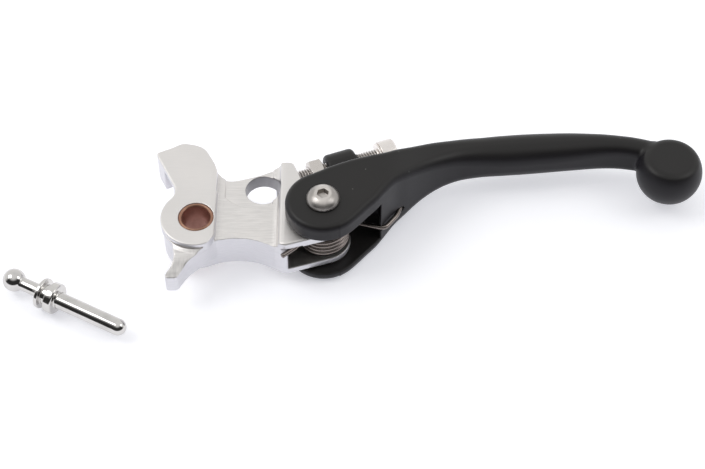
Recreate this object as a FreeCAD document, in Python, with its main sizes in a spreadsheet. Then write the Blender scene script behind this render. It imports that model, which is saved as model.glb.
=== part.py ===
import FreeCAD, Part
import math
import os
import Sketcher
from FreeCAD import Matrix, Placement, Rotation, Vector

# Adjustable folding clutch lever with its push rod.
# Frame: origin on the main pivot axis at mid height of the lever base,
# +X outboard along the lever, +Y towards the handlebar, +Z along the pivot axis.
# "Rear" is the +Y side and "front" the -Y side. Sizes are in mm, angles in degrees.

doc = FreeCAD.newDocument("clutch_lever")

# ---------------------------------------------------------------- dimensions
DIMS = [
    # lever base: heights from the mid plane
    ("base_bottom", -6.75), ("base_top", 6.75), ("ledge_top", 4.3), ("web_top", 4.1),
    ("tang_top", 2.9), ("tang_bottom", -3.35), ("horn_bottom", -3.35), ("pocket_roof", -1.3),
    ("recess_floor", 3.5), ("slot_roof", 4.0), ("slot_floor", -4.55), ("channel_roof", 5.1),
    # lever base: radii, and the hole in the web
    ("boss_radius", 10.0), ("fork_radius", 7.6),
    ("web_hole_radius", 5.0), ("web_hole_x", 18.43), ("web_hole_y", 12.33),
    # main bush
    ("bush_od", 10.0), ("bush_id", 8.0), ("bush_length", 13.5), ("bush_chamfer", 0.35),
    # blade pivot
    ("pivot_x", 35.77), ("pivot_y", 1.12),
    ("arm_radius", 10.65), ("arm_top", 13.15), ("arm_bottom", -11.6), ("arm_slot_half", 7.65),
    ("arm_screw_hole", 5.3), ("arm_thread", 5.0),
    ("screw_diameter", 5.0), ("button_head_diameter", 9.5), ("button_head_height", 2.75),
    ("hex_key", 3.0), ("hex_depth", 1.7),
    ("sleeve_od", 8.0), ("sleeve_id", 5.1),
    ("fork_bush_od", 10.0), ("fork_bush_id", 8.08),
    ("washer_od", 14.0), ("washer_id", 8.2), ("washer_thickness", 0.84),
    # torsion spring
    ("wire_diameter", 1.4), ("coil_radius", 6.75), ("coil_pitch", 1.5),
    ("coil_bottom", -3.3), ("coil_turns", 4.289),
    # stop screw, jam nut and lug; starts and ends are distances from the screw's tip
    ("stop_x", 27.513), ("stop_y", 18.984), ("stop_angle", 20.5),
    ("stop_thread", 5.0), ("stop_root", 4.2), ("stop_pitch", 0.8), ("stop_shank", 25.4),
    ("stop_head_diameter", 8.5), ("stop_head_height", 5.6), ("stop_key", 4.0),
    ("nut_width", 8.0), ("nut_height", 4.0), ("nut_bore", 5.1), ("nut_start", 4.35),
    ("lug_radius", 4.6), ("lug_start", 9.6), ("lug_end", 18.6), ("lug_bore", 5.1),
    # finger blade's ball end; ball_flat is half the height over the flats
    ("ball_x", 136.2), ("ball_y", 22.04), ("ball_radius", 9.55), ("ball_flat", 6.25),
    # push rod: diameters, places along it from the ball's centre, then the ball's place
    ("rod_ball", 6.7), ("rod_neck", 3.9), ("rod_flange", 9.0), ("rod_groove", 6.1),
    ("rod_shaft", 4.9), ("rod_flange_gap", 9.2), ("rod_flange_thickness", 1.2),
    ("rod_shoulder", 12.3), ("rod_shoulder_thickness", 2.5), ("rod_length", 37.05),
    ("rod_x", -51.56), ("rod_y", -11.88), ("rod_z", -7.05), ("rod_angle", -27.9),
]
sheet = doc.addObject("Spreadsheet::Sheet", "Dims")
for row, (alias, value) in enumerate(DIMS, start=1):
    sheet.set(f"A{row}", alias)
    sheet.set(f"B{row}", str(value))
    sheet.setAlias(f"B{row}", alias)
doc.recompute()
dim = {alias: float(getattr(sheet, alias)) for alias, _ in DIMS}

# A distance constraint to the origin cannot be zero, so centred circles sit this far off.
ON_AXIS = "0.0001"
COS_30 = math.cos(math.radians(30))
COS_45 = math.cos(math.radians(45))
SIN_45 = math.sin(math.radians(45))

PIVOT_X, PIVOT_Y = dim["pivot_x"], dim["pivot_y"]

# The stop screw's tip and axis also place the lug and the jam nut.
STOP_TURN = math.radians(dim["stop_angle"])
STOP_AXIS = Vector(math.cos(STOP_TURN), math.sin(STOP_TURN), 0)
STOP_TIP = Vector(dim["stop_x"], dim["stop_y"], 0)


# ---------------------------------------------------------------- plane geometry
def polar(radius, degrees, x=0.0, y=0.0):
    """Point at an angle on a circle centred on (x, y)."""
    turn = math.radians(degrees)
    return (x + radius * math.cos(turn), y + radius * math.sin(turn))


def line(start, end, z=0):
    return Part.LineSegment(Vector(*start, z), Vector(*end, z))


def arc(start, middle, end, z=0):
    return Part.Arc(Vector(*start, z), Vector(*middle, z), Vector(*end, z))


def spline(points, z=0):
    curve = Part.BSplineCurve()
    curve.interpolate(Points=[Vector(*point, z) for point in points])
    return curve


def chain(points):
    """Straight lines from point to point."""
    return [line(start, end) for start, end in zip(points, points[1:])]


def polygon(points):
    return chain(points + points[:1])


def hexagon(width, first_corner):
    """Hexagon of a width across flats, with its first corner at an angle."""
    return polygon([polar(width / 2 / COS_30, first_corner + 60 * k) for k in range(6)])


# ---------------------------------------------------------------- features
def new_body(label):
    return doc.addObject("PartDesign::Body", label)


def new_sketch(body, name, path, level=None, role="XY_Plane"):
    """Sketch of a path on an origin plane, raised by the expression level."""
    plane = next(f for f in body.Origin.OriginFeatures if f.Role == role)
    sketch = body.newObject("Sketcher::SketchObject", name)
    sketch.AttachmentSupport = [(plane, "")]
    sketch.MapMode = "FlatFace"
    if level is not None:
        sketch.setExpression("AttachmentOffset.Base.z", level)
    for piece in path:
        sketch.addGeometry(piece, False)
    return sketch


def circle_sketch(body, name, circles, level):
    """Sketch of circles, each given by expressions for centre x, centre y and radius."""
    sketch = new_sketch(body, name, [], level)

    def bind(constraint, expression):
        index = sketch.addConstraint(constraint)
        sketch.setExpression(f"Constraints[{index}]", expression)

    for x, y, radius in circles:
        circle = sketch.addGeometry(Part.Circle(Vector(1, 1, 0), Vector(0, 0, 1), 1), False)
        bind(Sketcher.Constraint("DistanceX", -1, 1, circle, 3, 1.0), x)
        bind(Sketcher.Constraint("DistanceY", -1, 1, circle, 3, 1.0), y)
        bind(Sketcher.Constraint("Radius", circle, 1.0), radius)
    return sketch


def pad(body, name, sketch, length):
    feature = body.newObject("PartDesign::Pad", name)
    feature.Profile = sketch
    feature.setExpression("Length", length)


def pocket(body, name, sketch, length, midplane=False):
    """Cuts a pocket, turned round if it first misses the body."""
    doc.recompute()
    volume_before = body.Shape.Volume

    def cuts_nothing():
        doc.recompute()
        return body.Shape.Volume > volume_before - 0.05

    feature = body.newObject("PartDesign::Pocket", name)
    feature.Profile = sketch
    feature.setExpression("Length", length)
    if midplane:
        feature.Midplane = True
    if cuts_nothing():
        feature.Reversed = True
        if cuts_nothing():
            raise RuntimeError(f"pocket {name} cuts nothing")


def turn_profile(body, sketch_name, name, path, kind="Revolution"):
    """Revolves (or grooves) a path of (radius, height) points about the body's Z axis."""
    sketch = new_sketch(body, sketch_name, path, role="XZ_Plane")
    feature = body.newObject(f"PartDesign::{kind}", name)
    feature.Profile = sketch
    feature.ReferenceAxis = (sketch, ["V_Axis"])
    feature.Angle = 360
    doc.recompute()


def chamfer(body, name, edge_numbers, size):
    """Chamfers numbered edges of the body's tip; size is an expression."""
    tip = body.Tip
    feature = body.newObject("PartDesign::Chamfer", name)
    feature.Base = (tip, [f"Edge{number}" for number in edge_numbers])
    feature.setExpression("Size", size)
    doc.recompute()
    return feature


def chamfer_level(body, name, level, size):
    """Chamfers the edges at one height, leaving out any the kernel cannot dress."""
    tip = body.Tip
    shape = tip.Shape

    def at_level(edge):
        box = edge.BoundBox
        return abs(box.ZMin - level) < 1e-3 and abs(box.ZMax - level) < 1e-3

    def can_dress(numbers):
        # The kernel raises on edge sets it cannot chamfer; those count as a plain no.
        try:
            result = shape.makeChamfer(size, [shape.Edges[n - 1] for n in numbers])
            return (result.isValid() and len(result.Solids) == 1
                    and result.Volume < shape.Volume * 1.02)
        except Exception:
            return False

    chosen = [number for number, edge in enumerate(shape.Edges, start=1)
              if at_level(edge) and edge.Length > 1.0]
    if not can_dress(chosen):
        singles = [number for number in chosen if can_dress([number])]
        chosen = []
        for number in singles:
            if can_dress(chosen + [number]):
                chosen.append(number)
    if not chosen:
        return
    feature = chamfer(body, name, chosen, str(size))
    if "Invalid" in feature.State or "Error" in feature.State or feature.Shape.isNull():
        body.removeObject(feature)
        doc.removeObject(feature.Name)
        body.Tip = tip
        doc.recompute()


# ---------------------------------------------------------------- lever base
# Main pivot boss, push rod horn at the rear, return tang at the front, thin web with
# an arch along the front, and a fork that carries the blade.
# Outline points are (x, y).
ARCH = [
    (-1.0, -8.75), (0.9, -8.15), (2.7, -7.75), (4.9, -6.85), (7.0, -6.15), (9.1, -5.75),
    (12.0, -5.6), (14.8, -5.85), (17.7, -6.6), (20.5, -7.8), (22.6, -8.95), (24.2, -9.7),
]
FORK_FRONT = [(24.2, -9.7), (25.2, -9.95), (26.4, -9.7)]
LOBE = [(30.1, 10.6), (29.72, 13.0), (27.40, 19.2)]
REAR = [
    (25.1, 20.35), (22.9, 20.15), (20.2, 19.1), (17.4, 17.85), (14.5, 16.9), (11.7, 16.1),
    (9.9, 15.75), (8.2, 15.8), (6.7, 16.5), (5.3, 18.2),
]
TANG_INBOARD = [(-6.7, -6.6), (-6.1, -9.3), (-5.75, -12.0), (-6.4, -14.6), (-7.6, -16.6),
                (-7.95, -17.6)]
TANG_OUTBOARD = [(-3.8, -16.9), (-3.2, -15.85), (-2.5, -14.7), (-1.3, -13.1), (0.5, -11.35),
                 (2.0, -9.95), (3.3, -8.75), (4.4, -7.65), (5.5, -6.6)]

# The horn's flat face: its rear corner, and the unit direction along it to the boss
FACE_CORNER = (-12.55, 22.75)
FACE_ALONG = (0.4445, -0.8958)

CHANNEL_ALONG = 8.7         # ball channel's centre along the horn's face
CHANNEL_HALF_WIDTH = 3.45
CHANNEL_STRAIGHT = 1.5      # depth at which its round end starts
CHANNEL_OVERRUN = -3        # start of the cut, outside the face


def on_boss(degrees, radius=dim["boss_radius"]):
    return polar(radius, degrees)


def on_fork(degrees):
    return polar(dim["fork_radius"], degrees, PIVOT_X, PIVOT_Y)


def on_face(along, depth):
    """Point at a distance along the horn's face and a depth into the horn."""
    return (FACE_CORNER[0] + FACE_ALONG[0] * along - FACE_ALONG[1] * depth,
            FACE_CORNER[1] + FACE_ALONG[1] * along + FACE_ALONG[0] * depth)


def fork_edge():
    """Outboard end of the base, from the arch round the fork to the rear edge."""
    nose_start, nose_end = on_fork(286.0), on_fork(62.0)
    return [
        spline(FORK_FRONT),
        line(FORK_FRONT[-1], nose_start),
        arc(nose_start, on_fork(354.0), nose_end),
        spline([nose_end, (35.0, 9.4), (31.6, 9.2), LOBE[0]]),
        *chain(LOBE),
        spline([LOBE[2], (27.0, 19.85), (26.3, 20.25), REAR[0]]),
    ]


def lower_outline():
    return [
        arc(on_boss(140), on_boss(200, 9.6), on_boss(256, 9.1)),
        line(on_boss(256, 9.1), ARCH[0]),
        spline(ARCH),
        *fork_edge(),
        spline(REAR),
        *chain([REAR[-1], (0.0, 18.0), (-4.0, 12.0), on_boss(140)]),
    ]


def tang_outline():
    """Return tang with the ledge that joins it to the boss."""
    return [
        spline(TANG_INBOARD),
        spline([TANG_INBOARD[-1], (-7.75, -18.2), (-7.15, -18.5)]),
        line((-7.15, -18.5), (-5.2, -18.5)),
        spline([(-5.2, -18.5), (-4.4, -18.0), TANG_OUTBOARD[0]]),
        spline(TANG_OUTBOARD),
        *chain([TANG_OUTBOARD[-1], (5.5, -3.0), (-4.0, -3.0), TANG_INBOARD[0]]),
    ]


def boss_cap_outline():
    return [
        arc(on_boss(140), on_boss(205), on_boss(279)),
        spline([on_boss(279), (3.5, -9.1), (4.75, -7.4), (5.6, -5.5)]),
        *chain([(5.6, -5.5), (5.6, 10.0), on_boss(140)]),
    ]


def fork_cap_outline():
    return [
        line((22.0, -8.7), FORK_FRONT[0]),
        *fork_edge(),
        spline(REAR[:3]),
        *chain([REAR[2], (20.2, 0.0), (22.0, -8.7)]),
    ]


def horn_outline():
    face_start, face_end = on_face(0.55, 0), on_face(12.7, 0)
    return [
        line(face_start, face_end),
        spline([face_end, (-6.5, 10.1), (-6.55, 8.7), (-7.0, 7.4), on_boss(140)]),
        *chain([on_boss(140), (0.0, 2.0), (5.3, 2.0), (5.3, 16.9)]),
        spline([(5.3, 16.9), (5.0, 18.0), (4.3, 20.0), (3.0, 22.5), (1.95, 24.4), (0.7, 25.7)]),
        spline([(0.7, 25.7), (-1.1, 26.6), (-3.2, 27.1), (-4.7, 27.3), (-6.1, 26.95)]),
        spline([(-6.1, 26.95), (-8.3, 25.7), (-10.3, 24.75), (-11.9, 24.0)]),
        spline([(-11.9, 24.0), (-12.45, 23.4), face_start]),
    ]


def web_profile():
    """Cut above the web, with concave fillets up to boss and fork; points are (x, z)."""
    top, floor = dim["base_top"], dim["web_top"]
    inboard, outboard = 4.9, 24.0
    radius = top - floor
    offset = radius * COS_45
    return [
        line((inboard, top + 2), (inboard, top)),
        arc((inboard, top), (inboard + radius - offset, top - offset),
            (inboard + radius, floor)),
        line((inboard + radius, floor), (outboard - radius, floor)),
        arc((outboard - radius, floor), (outboard - radius + offset, top - offset),
            (outboard, top)),
        *chain([(outboard, top), (outboard, top + 2), (inboard, top + 2)]),
    ]


def tang_ramp():
    """Cut that slopes the tang from the ledge down to its flat tip; points are (y, z)."""
    ledge, flat = dim["ledge_top"], dim["tang_top"]
    return [
        line((-12.0, ledge + 2), (-12.0, ledge)),
        spline([(-12.0, ledge), (-13.5, 3.95), (-15.1, 3.3), (-16.8, flat)]),
        *chain([(-16.8, flat), (-20.0, flat), (-20.0, ledge + 2), (-12.0, ledge + 2)]),
    ]


def recess_outline():
    return [
        line((7.6, 24.0), (7.6, 9.2)),
        spline([(7.6, 9.2), (9.4, 7.5), (12.0, 6.0), (14.9, 5.45), (18.2, 5.6), (21.3, 6.9)]),
        *chain([(21.3, 6.9), (21.3, 24.0), (7.6, 24.0)]),
    ]


def under_pocket_outline():
    return [
        line((7.2, 27.0), (7.2, 3.0)),
        spline([(7.2, 3.0), (7.9, 1.2), (10.0, 0.3), (14.8, 0.1), (19.5, 0.3), (21.3, 1.2),
                (21.9, 3.0)]),
        *chain([(21.9, 3.0), (21.9, 27.0), (7.2, 27.0)]),
    ]


def ball_channel_outline():
    near = CHANNEL_ALONG - CHANNEL_HALF_WIDTH
    far = CHANNEL_ALONG + CHANNEL_HALF_WIDTH
    end_depth = CHANNEL_STRAIGHT + CHANNEL_HALF_WIDTH
    return [
        line(on_face(near, CHANNEL_OVERRUN), on_face(near, CHANNEL_STRAIGHT)),
        arc(on_face(near, CHANNEL_STRAIGHT), on_face(CHANNEL_ALONG, end_depth),
            on_face(far, CHANNEL_STRAIGHT)),
        *chain([on_face(far, CHANNEL_STRAIGHT), on_face(far, CHANNEL_OVERRUN),
                on_face(near, CHANNEL_OVERRUN)]),
    ]


def add_base_pads(base):
    # sketch, pad, outline, and the dimensions that give its lower and upper face
    for sketch_name, pad_name, outline, bottom, top in (
            ("LowerOutline", "LowerPad", lower_outline(), "base_bottom", "ledge_top"),
            ("TangOutline", "TangPad", tang_outline(), "tang_bottom", "ledge_top"),
            ("BossCap", "BossCapPad", boss_cap_outline(), "ledge_top", "base_top"),
            ("ForkCap", "ForkCapPad", fork_cap_outline(), "ledge_top", "base_top"),
            ("HornOutline", "HornPad", horn_outline(), "horn_bottom", "base_top")):
        sketch = new_sketch(base, sketch_name, outline, f"Dims.{bottom}")
        pad(base, pad_name, sketch, f"Dims.{top} - Dims.{bottom}")


def cut_base(base):
    sketch = new_sketch(base, "WebProfile", web_profile(), role="XZ_Plane")
    pocket(base, "WebPocket", sketch, "80", midplane=True)

    sketch = new_sketch(base, "TangRamp", tang_ramp(), role="YZ_Plane")
    pocket(base, "TangPocket", sketch, "60", midplane=True)

    # shallow recess round the web hole, open to the rear
    sketch = new_sketch(base, "Recess", recess_outline(), "Dims.web_top + 1")
    pocket(base, "RecessPocket", sketch, "Dims.web_top + 1 - Dims.recess_floor")

    # underside pocket that leaves a full height rib along the arch
    sketch = new_sketch(base, "UnderPocketOutline", under_pocket_outline(), "Dims.pocket_roof")
    pocket(base, "UnderPocket", sketch, "Dims.pocket_roof - Dims.base_bottom + 1")

    # spring slot through the fork, open to the front and outboard
    slot = polygon([(25.9, -20.0), (50.0, -20.0), (50.0, 9.75), (25.9, 9.75)])
    sketch = new_sketch(base, "SpringSlot", slot, "Dims.slot_roof")
    pocket(base, "SpringSlotPocket", sketch, "Dims.slot_roof - Dims.slot_floor")

    # scallop in the front edge of the slot roof where the spring leg passes
    scallop = polygon([(23.0, -15.0), (29.2, -15.0), (30.2, -7.6), (28.2, -7.9), (25.2, -9.2),
                       (23.0, -9.75)])
    sketch = new_sketch(base, "LegScallop", scallop, "Dims.slot_roof + 0.45")
    pocket(base, "LegScallopPocket", sketch, "2.2")

    # ball channel for the push rod, open at the horn's face and underside
    sketch = new_sketch(base, "BallChannel", ball_channel_outline(), "Dims.channel_roof")
    pocket(base, "BallChannelPocket", sketch, "Dims.channel_roof - Dims.horn_bottom + 1")

    # bores for the main pivot and the fork pivot, and the web hole
    sketch = circle_sketch(base, "Bores", [
        (ON_AXIS, ON_AXIS, "Dims.bush_od / 2"),
        ("Dims.pivot_x", "Dims.pivot_y", "Dims.fork_bush_od / 2"),
        ("Dims.web_hole_x", "Dims.web_hole_y", "Dims.web_hole_radius")], "Dims.base_top + 1")
    pocket(base, "BoresPocket", sketch, "Dims.base_top - Dims.base_bottom + 2")


def build_lever_base():
    base = new_body("lever_base")
    add_base_pads(base)
    cut_base(base)
    chamfer_level(base, "TopEdges", dim["base_top"], 0.35)
    chamfer_level(base, "BottomEdges", dim["base_bottom"], 0.3)


# ---------------------------------------------------------------- bushes, washers, sleeve
AT_ORIGIN = (ON_AXIS, ON_AXIS)
AT_PIVOT = ("Dims.pivot_x", "Dims.pivot_y")

# label, centre, prefix of the _od and _id dimensions, lower face, height, chamfer
RINGS = [
    ("main_pivot_bush", AT_ORIGIN, "bush",
     "Dims.base_bottom", "Dims.bush_length", "Dims.bush_chamfer"),
    ("fork_bush_upper", AT_PIVOT, "fork_bush",
     "Dims.slot_roof", "Dims.base_top - Dims.slot_roof", "0.2"),
    ("fork_bush_lower", AT_PIVOT, "fork_bush",
     "Dims.base_bottom", "Dims.slot_floor - Dims.base_bottom", "0.2"),
    ("thrust_washer_upper", AT_PIVOT, "washer",
     "Dims.base_top + 0.03", "Dims.washer_thickness", "0.12"),
    ("thrust_washer_lower", AT_PIVOT, "washer",
     "-Dims.base_top - 0.03 - Dims.washer_thickness", "Dims.washer_thickness", "0.12"),
    ("pivot_sleeve", AT_PIVOT, "sleeve",
     "-Dims.arm_slot_half", "2 * Dims.arm_slot_half", "0.25"),
]


def build_ring(label, centre, prefix, bottom, height, chamfer_size):
    body = new_body(label)
    circles = [(*centre, f"Dims.{prefix}_od / 2"), (*centre, f"Dims.{prefix}_id / 2")]
    pad(body, label + "_pad", circle_sketch(body, label + "_ring", circles, bottom), height)
    doc.recompute()
    rims = [number for number, edge in enumerate(body.Tip.Shape.Edges, start=1)
            if edge.Length > 1.0 and abs(edge.BoundBox.ZMax - edge.BoundBox.ZMin) < 1e-4]
    chamfer(body, label + "_chamfer", rims, chamfer_size)


# ---------------------------------------------------------------- pivot screw
def build_pivot_screw():
    """Button head screw through the upper arm and the sleeve into the lower arm."""
    screw = new_body("pivot_screw")
    seat = dim["arm_top"]
    head_top = seat + dim["button_head_height"]
    end = dim["arm_bottom"] + 0.35
    head = dim["button_head_diameter"] / 2
    shank = dim["screw_diameter"] / 2
    dome = [
        (head, seat + 0.35),
        (head * 0.93, seat + dim["button_head_height"] * 0.47),
        (head * 0.76, seat + dim["button_head_height"] * 0.80),
        (head * 0.52, head_top),
    ]
    turn_profile(screw, "ScrewProfile", "ScrewTurn", [
        *chain([(0, end), (shank - 0.5, end), (shank, end + 0.5), (shank, seat),
                (head - 0.15, seat), dome[0]]),
        spline(dome),
        *chain([dome[-1], (0, head_top), (0, end)]),
    ])
    sketch = new_sketch(screw, "HexKey", hexagon(dim["hex_key"], 30),
                        "Dims.arm_top + Dims.button_head_height + 0.5")
    pocket(screw, "HexPocket", sketch, "Dims.hex_depth + 0.5")
    screw.Placement = Placement(Vector(PIVOT_X, PIVOT_Y, 0), Rotation(Vector(0, 0, 1), 20))


# ---------------------------------------------------------------- lever blade
# Finger blade: two arms round the fork, a rear lug for the stop screw, a bow towards
# the handlebar and a flattened ball end.
# x, centre y, centre z, half width along y, half height along z, corner radius
STATIONS = [
    (53.0, 12.65, 0.80, 6.8, 12.25, 2.6),
    (56.3, 15.2, 0.82, 6.05, 11.50, 3.2),
    (60.0, 17.9, 0.75, 5.5, 10.1, 3.5),
    (63.0, 20.1, 0.70, 5.2, 8.84, 3.7),
    (66.0, 22.05, 0.65, 4.95, 7.95, 3.85),
    (69.0, 23.65, 0.60, 4.75, 7.25, 4.0),
    (72.0, 24.9, 0.54, 4.6, 6.78, 4.1),
    (76.0, 26.2, 0.46, 4.6, 6.38, 4.2),
    (82.0, 27.3, 0.32, 4.9, 6.07, 4.6),
    (88.0, 28.0, 0.22, 5.3, 5.99, 5.0),
    (95.0, 28.7, 0.10, 5.35, 5.95, 5.0),
    (102.0, 29.3, 0.02, 5.15, 5.87, 4.9),
    (108.0, 29.7, 0.0, 4.8, 5.78, 4.6),
    (114.0, 29.9, 0.0, 4.2, 5.66, 4.05),
    (118.0, 29.9, 0.0, 3.8, 5.58, 3.65),
    (122.0, 29.6, 0.0, 3.5, 5.5, 3.3),
    (126.0, 29.0, 0.0, 3.5, 5.45, 3.3),
    (130.0, 28.0, 0.0, 3.6, 5.4, 3.4),
]
# Arm outline, (x, y): the rear edge runs outboard, the front edge runs inboard.
ARM_REAR = [(37.6, 13.9), (43.3, 16.35), (49.0, 18.3), (53.0, 19.4)]
ARM_FRONT = [(53.0, 5.9), (51.0, 1.95), (48.2, -1.2), (45.6, -4.2), (43.2, -6.7)]
# Foot of the web that ties the lug to the arms, (x, y), after the two points on the lug
LUG_WEB = [(52.2, 19.0), (52.2, 9.0), (45.0, 9.2), (39.2, 11.0), (38.0, 12.4)]
SLOT_ROOT_X = 51.95
LEG_HOLE_RADIUS = 1.1
# Hole and groove for the spring's lower leg: length, start (x, y), direction (x, y)
LEG_CUTS = [
    (7.6, (53.0, 3.5), (0.6, 0.8)),
    (4.9, (56.7, 8.0), (0.275, 0.961)),
    (4.0, (49.6, 4.6), (0.983, -0.184)),
]


def finger_section(x, centre_y, centre_z, half_y, half_z, radius):
    """Rounded rectangle in the plane of one station."""
    inset = radius * (1 - COS_45)
    y0, y1 = centre_y - half_y, centre_y + half_y
    z0, z1 = centre_z - half_z, centre_z + half_z
    corners = [
        ((y1 - radius, z0), (y1 - inset, z0 + inset), (y1, z0 + radius)),
        ((y1, z1 - radius), (y1 - inset, z1 - inset), (y1 - radius, z1)),
        ((y0 + radius, z1), (y0 + inset, z1 - inset), (y0, z1 - radius)),
        ((y0, z0 + radius), (y0 + inset, z0 + inset), (y0 + radius, z0)),
    ]
    edges = []
    last = Vector(x, *corners[-1][2])
    for corner in corners:
        start, middle, end = [Vector(x, *point) for point in corner]
        edges += [Part.makeLine(last, start), Part.Arc(start, middle, end).toShape()]
        last = end
    return Part.Wire(edges)


def arms_shape():
    """Both arms in one block, slotted; the slot is open everywhere but outboard."""
    def on_arm(degrees):
        return polar(dim["arm_radius"], degrees, PIVOT_X, PIVOT_Y)

    bottom = dim["arm_bottom"]
    outline = Part.Wire([piece.toShape() for piece in (
        arc(on_arm(306), on_arm(209), on_arm(112), bottom),
        spline([on_arm(112)] + ARM_REAR, bottom),
        line(ARM_REAR[-1], ARM_FRONT[0], bottom),
        spline(ARM_FRONT + [on_arm(306)], bottom))])
    block = Part.Face(outline).extrude(Vector(0, 0, dim["arm_top"] - bottom))
    half = dim["arm_slot_half"]
    slot = Part.makeBox(40.0, 60.0, 2 * half, Vector(SLOT_ROOT_X - 40.0, -30.0, -half))
    return block.cut(slot)


def lug_shape():
    """Rear lug round the stop screw with its web to the arms."""
    radius = dim["lug_radius"]
    start = STOP_TIP + STOP_AXIS * dim["lug_start"]
    end = STOP_TIP + STOP_AXIS * dim["lug_end"]
    lug = Part.makeCylinder(radius, dim["lug_end"] - dim["lug_start"], start, STOP_AXIS)
    foot = [(start.x, start.y), (end.x, end.y)] + LUG_WEB + [(start.x, start.y)]
    face = Part.Face(Part.makePolygon([Vector(x, y, -radius) for x, y in foot]))
    return face.extrude(Vector(0, 0, 2 * radius)).fuse(lug)


def ball_shape():
    x, y, half = dim["ball_x"], dim["ball_y"], dim["ball_flat"]
    ball = Part.makeSphere(dim["ball_radius"], Vector(x, y, 0))
    return ball.common(Part.makeBox(40, 40, 2 * half, Vector(x - 20, y - 20, -half))).Solids[0]


def build_lever_blade():
    finger = Part.makeLoft([finger_section(*station) for station in STATIONS], True, False)
    shape = arms_shape().fuse(finger)
    shape = shape.fuse(ball_shape())
    shape = shape.fuse(lug_shape())
    pivot = Vector(PIVOT_X, PIVOT_Y, 0)
    cuts = [
        Part.makeCylinder(dim["arm_screw_hole"] / 2, 30, pivot, Vector(0, 0, 1)),
        Part.makeCylinder(dim["arm_thread"] / 2, 30, pivot, Vector(0, 0, -1)),
        Part.makeCylinder(dim["lug_bore"] / 2, 60, STOP_TIP - STOP_AXIS * 5, STOP_AXIS),
    ]
    for length, start, direction in LEG_CUTS:
        cuts.append(Part.makeCylinder(LEG_HOLE_RADIUS, length,
                                      Vector(*start, dim["coil_bottom"]),
                                      Vector(*direction, 0)))
    shape = shape.cut(cuts).removeSplitter()
    if len(shape.Solids) == 1:
        shape = shape.Solids[0]
    doc.addObject("Part::Feature", "lever_blade").Shape = shape


# ---------------------------------------------------------------- torsion spring
# Close wound right hand coil; the lower leg sits in the blade, the upper leg bears on
# the front face of the lever base.
COIL_START = 76.0           # angle at which the lower leg joins the coil
STEPS_PER_TURN = 30
LEG_STEP = 0.8              # spacing of the path points on the legs
# Leg corners away from the coil, (x, y)
LOW_LEG = [(57.9, 12.2), (56.9, 8.7), (53.3, 3.9)]
UP_LEG = [(29.0, -7.3), (24.3, -11.2)]


def spaced(corners):
    """Points spaced along a polyline."""
    points = []
    for start, end in zip(corners, corners[1:]):
        count = max(1, int(round((end - start).Length / LEG_STEP)))
        points += [start + (end - start) * (k / float(count)) for k in range(count)]
    return points + [corners[-1]]


def soften(points, rounds):
    """Relaxes a point row into a smooth bend; the ends stay where they are."""
    for _ in range(rounds):
        inner = [(before + point * 2 + after) * 0.25
                 for before, point, after in zip(points, points[1:], points[2:])]
        points = [points[0]] + inner + [points[-1]]
    return points


def spring_path():
    turns, low = dim["coil_turns"], dim["coil_bottom"]
    rise = dim["coil_pitch"] * turns
    high = low + rise
    sweep = 360.0 * turns

    def on_coil(degrees, z):
        return Vector(*polar(dim["coil_radius"], degrees, PIVOT_X, PIVOT_Y), z)

    start, end = on_coil(COIL_START, low), on_coil(COIL_START + sweep, high)
    start_turn, end_turn = math.radians(COIL_START), math.radians(COIL_START + sweep)
    # tangents that point away from the coil
    start_out = Vector(math.sin(start_turn), -math.cos(start_turn), 0)
    end_out = Vector(-math.sin(end_turn), math.cos(end_turn), 0)

    low_leg = soften(spaced([Vector(*point, low) for point in LOW_LEG]
                            + [start + start_out * 13.2, start + start_out * 2.0, start]), 3)
    up_leg = soften(spaced([end, end + end_out * 2.0]
                           + [Vector(*point, high) for point in UP_LEG]), 4)
    steps = int(turns * STEPS_PER_TURN)
    coil = [on_coil(COIL_START + sweep * k / float(steps), low + rise * k / float(steps))
            for k in range(1, steps)]
    return low_leg + coil + up_leg


def build_torsion_spring():
    path = spring_path()
    sections = []
    for k, point in enumerate(path):
        along = path[min(len(path) - 1, k + 1)] - path[max(0, k - 1)]
        along.normalize()
        # each section's seam points up, so the sections never twist against each other
        up = Vector(0, 0, 1) - along * along.z
        up.normalize()
        side = along.cross(up)
        circle = Part.makeCircle(dim["wire_diameter"] / 2)
        circle.Placement = Placement(Matrix(up.x, side.x, along.x, point.x,
                                            up.y, side.y, along.y, point.y,
                                            up.z, side.z, along.z, point.z,
                                            0, 0, 0, 1))
        sections.append(Part.Wire([circle]))
    doc.addObject("Part::Feature", "torsion_spring").Shape = Part.makeLoft(sections, True, True)


# ---------------------------------------------------------------- stop screw
# Underside of the head: inset from the head's radius, height above the shank's end
STOP_COLLAR = [(0.6, 0), (0.25, 0.12), (0.25, 0.52), (0.6, 0.6), (0.6, 0.72), (0.15, 0.74),
               (0, 0.9)]


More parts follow.
